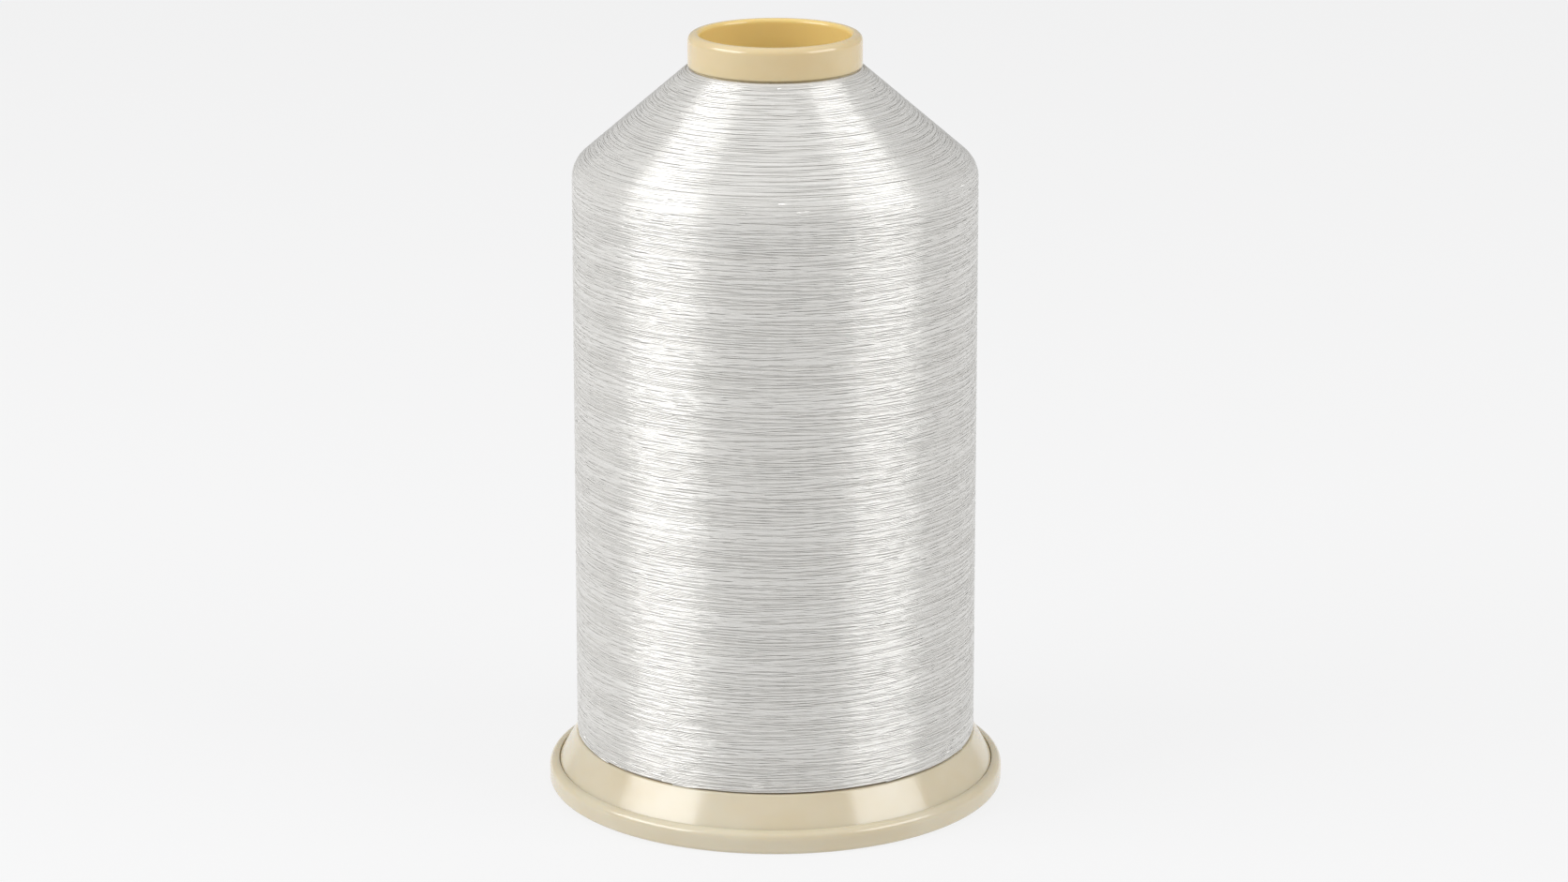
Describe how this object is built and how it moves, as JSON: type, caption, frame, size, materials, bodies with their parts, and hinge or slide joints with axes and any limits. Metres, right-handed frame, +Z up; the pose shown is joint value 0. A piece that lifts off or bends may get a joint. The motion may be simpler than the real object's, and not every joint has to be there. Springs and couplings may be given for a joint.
{
  "type": "filament spool",
  "caption": "Tall spool of clear filament on a cream tube with a rounded collar, a conical foot and a snap ring that stores the loose end.",
  "frame": {"origin": "centre of the rest face under the foot", "axes": "+Z up along the spool's axis; the tail goes over the skirt on the +Y side"},
  "size_m": [0.084, 0.084, 0.1402],
  "materials": {
    "ivory_plastic": "glossy cream moulding, slightly translucent",
    "clear_filament": "glossy clear filament, wound, reads as silvery white"
  },
  "bodies": {
    "spool": {"core_tube": "ivory_plastic", "top_collar": "ivory_plastic", "foot_flange": "ivory_plastic", "filament_package": "clear_filament", "stored_tail": "clear_filament"},
    "lock_ring": {"tail_lock_ring": "ivory_plastic"}
  },
  "joints": [
    {"name": "tail_lock_slide", "type": "slide", "parent": "spool", "child": "lock_ring", "axis": [0, 0, -1], "range_m": [0, 0.0025]}
  ]
}
